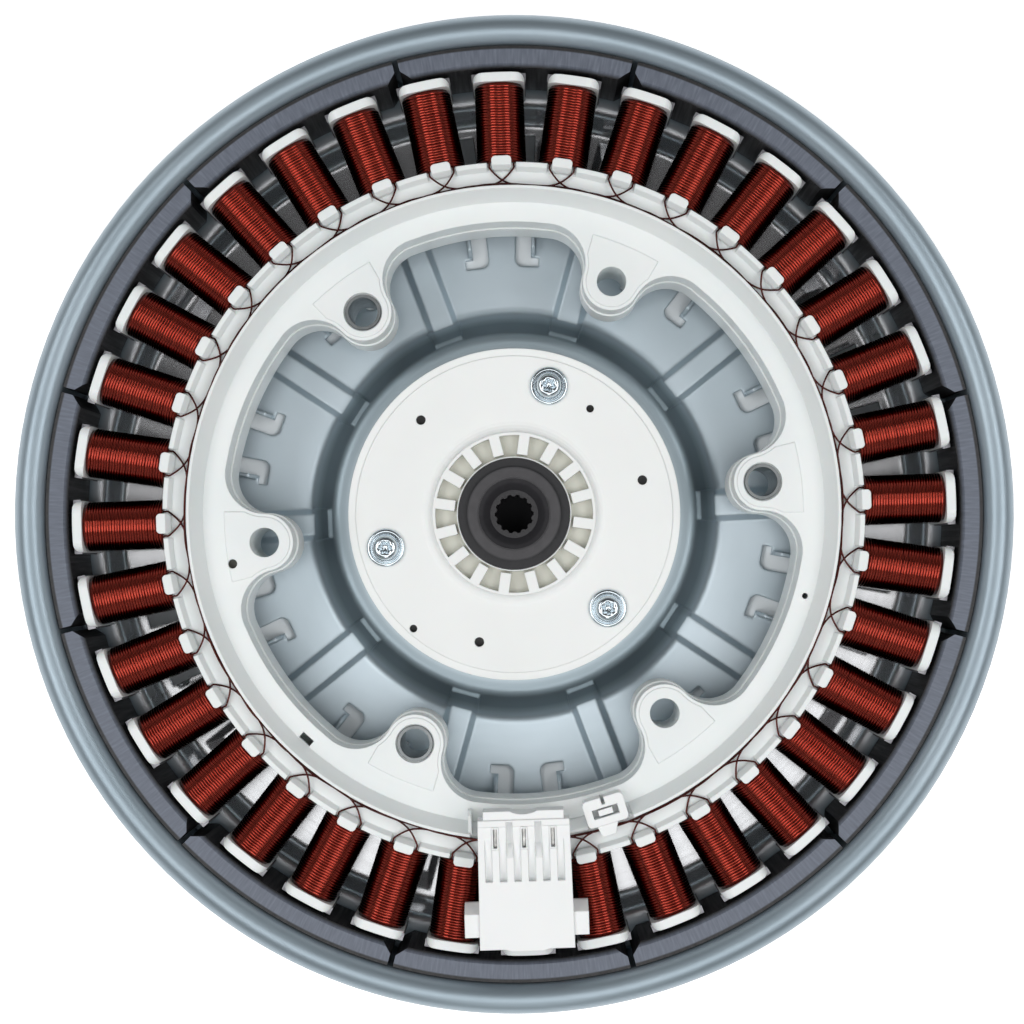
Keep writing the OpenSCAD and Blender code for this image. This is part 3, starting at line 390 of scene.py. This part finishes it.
def enamelled_copper(name, shades, flank_shade=1.0):
    """Deep red enamel over bright wire, a shade for each turn; the last argument darkens the flanks, a
    painted shade between the coils.
    """
    s = Shader(name)
    turns = s.noise(1.0, 2, s.polar(9, 1500, 0))
    # Painted shade: the colour darkens down the coil's flanks, below its top
    tone = s.range(s.height(), COIL_TOP - FLANK_SHADE_FADE[0], COIL_TOP - FLANK_SHADE_FADE[1], flank_shade, 1.0)
    s.link(s.mix(tone, BLACK, s.ramp(turns, list(zip((0.25, 0.5, 0.8), shades)))), "Base Color")
    s.set(Metallic=1.0, IOR=1.5, Coat_Weight=0.3, Coat_Roughness=0.1)
    s.roughness(turns, 0.15, 0.2)
    return s.material


def coated_steel():
    """Blue-grey coating on pressed sheet, lighter on the floor than on the rim and paler still under the
    teeth, with a painted highlight at the hub's edge and painted shade down the seat's wall.
    """
    s = Shader("pressed_steel")
    cloud = s.noise(22, 4)
    rim = s.ramp(cloud, [(0.3, (0.30, 0.37, 0.42)), (0.7, (0.345, 0.415, 0.465))])
    floor = s.ramp(cloud, [(0.3, (0.55, 0.64, 0.695)), (0.7, (0.605, 0.69, 0.745))])
    pale_band = s.ramp(cloud, [(0.3, (0.70, 0.72, 0.74)), (0.7, (0.78, 0.79, 0.81))])
    r = s.radius()
    # Painted highlight next to the hub's edge, then painted shade down the seat's wall, back to a floor tone
    # at its foot
    seat = s.ramp(s.range(r, *SEAT_HIGHLIGHT_AND_SHADE), [
        (0.0, (0.50, 0.58, 0.63)), (0.12, (0.34, 0.41, 0.45)), (0.45, (0.19, 0.24, 0.27)),
        (0.75, (0.22, 0.28, 0.31)), (1.0, (0.50, 0.58, 0.63))])
    floor = s.mix(s.range(r, *SEAT_FOOT), seat, floor)
    inside = s.mix(s.range(r, *PALE_BAND_START), floor, pale_band)
    s.link(s.mix(s.range(r, *PALE_BAND_END), inside, rim), "Base Color")
    s.set(Metallic=0.75, IOR=1.5, Coat_Weight=0.1, Coat_Roughness=0.3)
    marks = s.range(s.noise(1.0, 3, s.polar(6, 900, 300)), 0.3, 0.7, -0.02, 0.02)
    dull = s.range(s.between(r, PALE_BAND_START, POLISH_END), 0.0, 1.0, 0.4, 0.2)
    s.link(s.maths("ADD", marks, dull), "Roughness")
    s.bump(s.noise(5200, 2), 0.06, 0.00004, edge=SHEET_EDGE)
    return s.material


def ferrite():
    """Sintered magnet: nearly black sides and a ground top with streaks across it, save a painted shade of
    the gap at the cup's wall along the top's outer edge.
    """
    s = Shader("ferrite")
    streaks = s.noise(1.0, 4, s.polar(190, 160, 40))
    dust = s.noise(700, 3)
    # The top's outer edge takes the sides' near-black: painted shade of the gap at the cup's wall
    ground = s.maths(
        "MULTIPLY", s.range(s.height(), MAGNET_TOP - GRIND_FADE[0], MAGNET_TOP - GRIND_FADE[1]),
        s.range(s.radius(), MAGNET_R - MAGNET_GAP_SHADE[0], MAGNET_R - MAGNET_GAP_SHADE[1], 1.0, 0.0))
    face = s.ramp(streaks, [
        (0.2, (0.09, 0.104, 0.138)), (0.5, (0.122, 0.14, 0.18)), (0.85, (0.18, 0.205, 0.255))])
    side = s.ramp(dust, [(0.3, (0.008, 0.008, 0.009)), (0.8, (0.022, 0.022, 0.024))])
    s.link(s.mix(ground, side, face), "Base Color")
    s.set(IOR=1.6, Metallic=0.15)
    s.roughness(streaks, 0.42, 0.6)
    s.bump(s.maths("ADD", streaks, s.maths("MULTIPLY", dust, 0.4)), 0.25, 0.00012)
    return s.material


def laminated_steel():
    """Stacked sheets: a fine dark line between each two, up the stack."""
    s = Shader("lamination_steel")
    sheets = s.maths("SINE", s.maths("MULTIPLY", s.height(), 2 * math.pi / LAMINATION_T))
    lines = s.range(sheets, -1.0, -0.4)
    steel = s.cloud(90, 3, (0.26, 0.26, 0.28), (0.34, 0.34, 0.36))
    s.link(s.mix(lines, (0.07, 0.07, 0.075), steel), "Base Color")
    s.set(Metallic=0.9, IOR=1.5)
    s.roughness(s.noise(300, 2), 0.38, 0.55)
    s.bump(lines, 0.3, 0.00005)
    return s.material


def bare_metal(name, dark, bright, colour_noise, finish_noise, low, high):
    """Plated or tinned metal, a little cloudy in colour and in roughness, which runs from low to high."""
    s = Shader(name)
    s.link(s.cloud(*colour_noise, dark, bright), "Base Color")
    s.set(Metallic=1.0)
    s.roughness(s.noise(*finish_noise), low, high)
    return s.material


def plated_steel(name, dark, bright, polish):
    return bare_metal(name, dark, bright, (260, 2), (600, 2), 0.85 * polish, 1.15 * polish)


def tinned_blade():
    return bare_metal("tinned_terminals", (0.42, 0.42, 0.41), (0.6, 0.6, 0.58), (500, 3), (700, 2), 0.26, 0.4)


def black_bush():
    """Turned black bush: fine tool rings round the axis, and a tone for each step of it."""
    s = Shader("black_bush")
    rings = s.maths("SINE", s.maths("MULTIPLY", s.radius(), 2 * math.pi / TOOL_PITCH))
    tone = s.ramp(s.range(s.radius(), 0.0, BUSH_TONES_R), [
        (0.0, (0.008, 0.008, 0.010)), (0.27, (0.010, 0.010, 0.012)), (0.30, (0.024, 0.023, 0.026)),
        (0.47, (0.030, 0.029, 0.033)), (0.50, (0.052, 0.050, 0.055)), (0.70, (0.058, 0.056, 0.061)),
        (0.735, (0.012, 0.012, 0.015)), (1.0, (0.010, 0.010, 0.013))])
    wear = s.range(s.noise(300, 3), 0.3, 0.7, 0.0, 0.25)
    s.link(s.mix(wear, tone, (0.012, 0.012, 0.014)), "Base Color")
    s.set(IOR=1.5)
    s.roughness(s.noise(800, 2), 0.36, 0.5)
    s.bump(rings, 0.12, 0.00004)
    return s.material


RING_SHADES = ((0.80, 0.84, 0.84), (0.85, 0.875, 0.87))
PLUG_SHADES = ((0.86, 0.88, 0.88), (0.89, 0.9, 0.9))
COIL_SHADES = ((0.24, 0.023, 0.013), (0.31, 0.034, 0.019), (0.37, 0.047, 0.026))
# The crossover wires' enamel is a darker copy of the coils': painted shade of the channel they lie in
LEAD_SHADED_TONES = ((0.05, 0.006, 0.004), (0.075, 0.009, 0.006), (0.11, 0.013, 0.008))
MATERIALS = {
    # RING_HOLE: where painted shade darkens the inside of the ring's small hole
    "insulator_plastic": white_plastic("insulator_plastic", *RING_SHADES, RING_HOLE),
    "connector_plastic": white_plastic("connector_plastic", *PLUG_SHADES),
    "hub_plastic": hub_plastic(),
    # 0.22: how dark the painted shade on the coils' flanks gets
    "enamelled_copper": enamelled_copper("enamelled_copper", COIL_SHADES, 0.22),
    "pressed_steel": coated_steel(),
    "ferrite": ferrite(),
    "lamination_steel": laminated_steel(),
    "zinc_steel": plated_steel("zinc_steel", (0.60, 0.67, 0.72), (0.70, 0.77, 0.81), 0.17),
    "tinned_terminals": tinned_blade(),
    "black_bush": black_bush(),
}


def dress_frame():
    """Gives each CAD node the material of its slot, and the sleeves a duller one."""
    own = {"mounting_sleeves": plated_steel("sleeve_steel", (0.20, 0.215, 0.22), (0.27, 0.285, 0.29), 0.4)}
    for row in frame["record"]["subparts"]:
        mesh = frame["nodes"][row["node"]].data
        mesh.materials.clear()
        mesh.materials.append(own.get(row["node"], MATERIALS[row["material_slot"]]))


# Mesh helpers

# Sides of the round wires' section
WIRE_SIDES = 8

def add_mesh(name, points, faces, slot, body, material=None):
    """A smooth piece on a body, in its slot's material unless another is given."""
    mesh = bpy.data.meshes.new(name)
    mesh.from_pydata(points, [], faces)
    mesh.update()
    mesh.polygons.foreach_set("use_smooth", [True] * len(mesh.polygons))
    mesh.materials.append(material or MATERIALS[slot])
    obj = bpy.data.objects.new(name, mesh)
    bpy.context.scene.collection.objects.link(obj)
    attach(obj, body)
    return obj


def wire_mesh(path, radius):
    """Points and faces of a round wire along a path, with flat ends."""
    points = []
    faces = []
    u = (path[1] - path[0]).normalized().orthogonal().normalized()
    for i, p in enumerate(path):
        along = (path[min(i + 1, len(path) - 1)] - path[max(i - 1, 0)]).normalized()
        u = (u - along * u.dot(along)).normalized()
        v = along.cross(u)
        for k in range(WIRE_SIDES):
            a = 2 * math.pi * k / WIRE_SIDES
            points.append(p + radius * (u * math.cos(a) + v * math.sin(a)))
    for ring in range(0, (len(path) - 1) * WIRE_SIDES, WIRE_SIDES):
        for k in range(WIRE_SIDES):
            m = (k + 1) % WIRE_SIDES
            faces.append((ring + k, ring + m, ring + WIRE_SIDES + m, ring + WIRE_SIDES + k))
    last = len(points) - WIRE_SIDES
    faces.append(tuple(range(WIRE_SIDES - 1, -1, -1)))
    faces.append(tuple(range(last, last + WIRE_SIDES)))
    return points, faces


def joined(parts):
    """One list of points and faces out of several."""
    points = []
    faces = []
    for more_points, more_faces in parts:
        start = len(points)
        points.extend(more_points)
        faces.extend(tuple(i + start for i in face) for face in more_faces)
    return points, faces


# Coils

COIL_TURNS = 28
WIRE_R = 0.48 * MM
CROWN_STEPS = 10
FLANK_STEPS = 2
# How far a turn may sink and how far it may drift along the tooth
TURN_SINK = 0.045
TURN_DRIFT = 0.05
# The sleeve under the wire: how far it lies in, in wire radii, and its wall on the flanks and on the crowns
CORE_SINK = 1.15 * WIRE_R
CORE_FLANK = 2.2 * MM
CORE_CROWN = 2.0 * MM


def stadium(inset_x, inset_z):
    """X and Z round the coil's section, set in from its sides and its crowns, starting low on the right."""
    half_w = COIL_W / 2 - inset_x
    straight = (COIL_TOP - COIL_LOW) / 2 - inset_z - half_w
    ring = []
    for side, start in ((1, 0.0), (-1, math.pi)):
        for k in range(FLANK_STEPS):
            ring.append((side * half_w, side * (-straight + 2 * straight * k / FLANK_STEPS)))
        for k in range(CROWN_STEPS):
            a = start + math.pi * k / CROWN_STEPS
            ring.append((half_w * math.cos(a), side * straight + half_w * math.sin(a)))
    return ring


def wound_layer():
    """The visible layer of one coil: one wire, turn beside turn, each turn a little uneven."""
    half_w = COIL_W / 2 - WIRE_R
    half_h = (COIL_TOP - COIL_LOW) / 2 - WIRE_R
    pitch = (COIL_OUT - COIL_IN - 2 * WIRE_R) / COIL_TURNS
    ring = stadium(WIRE_R, WIRE_R)
    path = []
    for turn in range(COIL_TURNS):
        swell = RNG.uniform(-TURN_SINK, 0.0) * MM
        drift = RNG.uniform(-TURN_DRIFT, TURN_DRIFT) * MM
        for k, (x, z) in enumerate(ring):
            share = k / len(ring)
            y = COIL_IN + WIRE_R + (turn + share) * pitch + drift * math.sin(math.pi * share)
            path.append(Vector((x * (1 + swell / half_w), y, COIL_MID + z * (1 + swell / half_h))))
    return wire_mesh(path, WIRE_R)


def winding_core():
    """Closed sleeve of the inner layers, just under the visible wire."""
    rings = (stadium(CORE_SINK, CORE_SINK), stadium(CORE_FLANK, CORE_CROWN))
    points = [Vector((x, y, COIL_MID + z)) for y in (COIL_IN, COIL_OUT) for ring in rings for x, z in ring]
    count = len(rings[0])
    faces = []
    for k in range(count):
        m = (k + 1) % count
        faces.append((k, 2 * count + k, 2 * count + m, m))
        faces.append((count + k, count + m, 3 * count + m, 3 * count + k))
        faces.append((k, m, count + m, count + k))
        faces.append((2 * count + k, 3 * count + k, 3 * count + m, 2 * count + m))
    return points, faces


def make_coils():
    core = winding_core()
    for i, name in enumerate(COILS):
        points, faces = joined([core, wound_layer()])
        points = [turned(p, COIL_PITCH * i) for p in points]
        coil = add_mesh(f"winding_{i + 1:02d}", points, faces, "enamelled_copper", "stator")
        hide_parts(name)


# Crossover wires

LEAD_R = 0.28 * MM
# Radii of the wires' lane in the channel, of their crossing behind a tab, and of their hook round it
LEAD_LANE_R = RING_WALL_R + 0.75 * MM
LEAD_CROSS_R = RING_WALL_R + 2.3 * MM
LEAD_HOOK_R = TAB_IN_R + 0.6 * MM
LEAD_HOOK_IN = 0.3 * MM
# Each wire spans three teeth on one of three levels
LEAD_SPAN = 3
LEAD_BASE_Z = LEAD_LOW + 0.5 * MM
LEAD_LEVEL = 0.56 * MM
LEAD_SPLIT = LEAD_LEVEL / 2 + 0.02 * MM
# Degrees from a tab to the wire's free run, the points along that run, and how far they may stray
LEAD_RUN_START = 2.6
LEAD_RUN_POINTS = 6
LEAD_STRAY = (-0.1, 0.35)
LEAD_STEPS = 4


def smooth_path(points, steps):
    """Catmull-Rom curve through points."""
    path = []
    for i in range(len(points) - 1):
        a = points[max(i - 1, 0)]
        b = points[i]
        c = points[i + 1]
        d = points[min(i + 2, len(points) - 1)]
        for k in range(steps):
            t = k / steps
            path.append(0.5 * (2 * b + (c - a) * t + (2 * a - 5 * b + 4 * c - d) * t ** 2
                               + (3 * b - a - 3 * c + d) * t ** 3))
    path.append(points[-1])
    return path


def crossover_route(i):
    """Route of the wire that leaves tooth i, hooks round its tab and ends behind the tab of a later tooth."""
    half_tab = (TAB_W + NOTCH_W) / 2
    exit_angle = math.degrees(math.atan(half_tab / LINER_R))
    hook_angle = math.degrees(math.atan((half_tab - LEAD_HOOK_IN) / TAB_IN_R))
    exit_r = LINER_R - LINER_T / 2
    z = LEAD_BASE_Z + (i % LEAD_SPAN) * LEAD_LEVEL
    last = LEAD_SPAN * COIL_PITCH
    start = [
        (-exit_angle, LINER_R, z + LEAD_SPLIT),
        (-exit_angle, exit_r, z + LEAD_SPLIT),
        (-hook_angle, LEAD_HOOK_R, z + LEAD_SPLIT),
        (0, LEAD_CROSS_R, z + LEAD_SPLIT),
    ]
    run = []
    for k in range(LEAD_RUN_POINTS + 1):
        stray = RNG.uniform(*LEAD_STRAY) if 0 < k < LEAD_RUN_POINTS else 0.0
        angle = LEAD_RUN_START + (last - 2 * LEAD_RUN_START) * k / LEAD_RUN_POINTS
        run.append((angle, LEAD_LANE_R + stray * MM, z))
    end = [(last - angle, r, z - LEAD_SPLIT) for angle, r, _ in reversed(start)]
    return [clock(angle + COIL_PITCH * i, r, h) for angle, r, h in start + run + end]


def make_crossovers():
    routes = [smooth_path(crossover_route(i), LEAD_STEPS) for i in range(len(COILS))]
    points, faces = joined([wire_mesh(route, LEAD_R) for route in routes])
    # Darker copy of the coils' enamel: painted shade of the channel
    lead = enamelled_copper("enamelled_lead_shaded", LEAD_SHADED_TONES)
    wires = add_mesh("crossover_lay", points, faces, "enamelled_copper", "stator", lead)
    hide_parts("crossover_wires")


# Hub screws

SCREW_SIDES = 48
RECESS_LOBES = 6
SHANK_R = 2.5 * MM
TAIL_CHAMFER = 0.4 * MM
# Recess, head and captive washer in mm: radius, depth below the top, and how far the recess's lobes reach
SCREW_PROFILE = [
    (0, 1.7, 0), (1.1, 1.6, 0.14), (1.75, 0.35, 0.16), (2.05, 0.02, 0.1), (2.6, 0, 0), (3.25, 0.25, 0),
    (3.75, 0.9, 0), (3.9, 1.9, 0), (4, 2.95, 0), (4.18, 3.1, 0), (4.19, 3.38, 0), (4.3, 3.82, 0),
    (4.55, 3.76, 0), (4.7, 3.4, 0), (5.55, 3.4, 0), (5.9, 3.7, 0), (6, 4.12, 0), (6, 4.6, 0), (2.5, 4.6, 0),
]


def screw_mesh(angle, turn):
    """One pan-head screw with its washer, turned about its own axis."""
    profile = [(r * MM, SCREW_TOP - depth * MM, lobe) for r, depth, lobe in SCREW_PROFILE]
    profile.append((SHANK_R, SCREW_TAIL + TAIL_CHAMFER, 0))
    profile.append((SHANK_R - TAIL_CHAMFER, SCREW_TAIL, 0))
    centre = clock(angle, SCREW_R)
    points = [centre + Vector((0, 0, profile[0][1]))]
    for r, z, lobe in profile[1:]:
        for k in range(SCREW_SIDES):
            a = 2 * math.pi * k / SCREW_SIDES
            wide = r * (1 + lobe * math.cos(RECESS_LOBES * a))
            points.append(centre + Vector((wide * math.sin(a + turn), wide * math.cos(a + turn), z)))
    points.append(centre + Vector((0, 0, SCREW_TAIL)))
    tail = len(points) - 1 - SCREW_SIDES
    faces = []
    for k in range(SCREW_SIDES):
        m = (k + 1) % SCREW_SIDES
        faces.append((0, 1 + m, 1 + k))
        for low in range(1, tail, SCREW_SIDES):
            high = low + SCREW_SIDES
            faces.append((low + k, low + m, high + m, high + k))
        faces.append((tail + k, tail + m, len(points) - 1))
    return points, faces


def make_screws():
    points, faces = joined([screw_mesh(angle, RNG.uniform(0, 1)) for angle in SCREW_CLOCKS])
    screws = add_mesh("pan_head_screws", points, faces, "zinc_steel", "rotor")
    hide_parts("hub_screws")


# Floor

FLOOR_HALF = 3.0
FLOOR_Z = -0.0002
# Radii of the painted shade under the cup, grey, and under the hub, near-black, and how softly they end
CUP_SHADE_R = 0.9 * RIM_R
HUB_SHADE_R = 52 * MM
SHADE_END = 1.03
# From here to there the floor takes its white from its own glow, as the lamps don't reach it
FAR = (0.4, 1.6)
GLOW_NEAR = 0.55


def make_floor():
    """Floor that is white where the camera or a mirror sees it, with painted shade: grey under the cup and
    near-black under the hub.
    """
    mesh = bpy.data.meshes.new("floor")
    corners = [(x * FLOOR_HALF, y * FLOOR_HALF, 0) for x, y in ((-1, -1), (1, -1), (1, 1), (-1, 1))]
    mesh.from_pydata(corners, [], [(0, 1, 2, 3)])
    floor = bpy.data.objects.new("floor", mesh)
    floor.location.z = FLOOR_Z
    bpy.context.scene.collection.objects.link(floor)
    s = Shader("floor")
    s.set(Roughness=0.9, Specular_IOR_Level=0.2, Emission_Color=(1, 1, 1, 1))

    def inside(radius):
        return s.range(s.radius(), radius, radius * SHADE_END, 1.0, 0.0)

    shaded = inside(CUP_SHADE_R)
    # Painted shade on the floor: grey under the cup, near-black under the hub
    under = s.mix(inside(HUB_SHADE_R), (0.88, 0.92, 0.94), (0.02, 0.02, 0.022))
    far = s.range(s.radius(), *FAR)
    s.link(s.mix(far, s.mix(shaded, (0.9, 0.9, 0.9), under), BLACK), "Base Color")
    near_glow = s.range(shaded, 0.0, 1.0, GLOW_NEAR, 0.0)
    glow = s.maths("ADD", near_glow, s.range(far, 0.0, 1.0, 0.0, 1.0 - GLOW_NEAR))
    s.link(s.maths("MULTIPLY", s.seen("Camera", "Glossy", "Transmission"), glow), "Emission Strength")
    mesh.materials.append(s.material)


bpy.context.scene.view_settings.view_transform = "Standard"
make_camera()
make_light()
make_floor()
dress_frame()
make_coils()
make_crossovers()
make_screws()
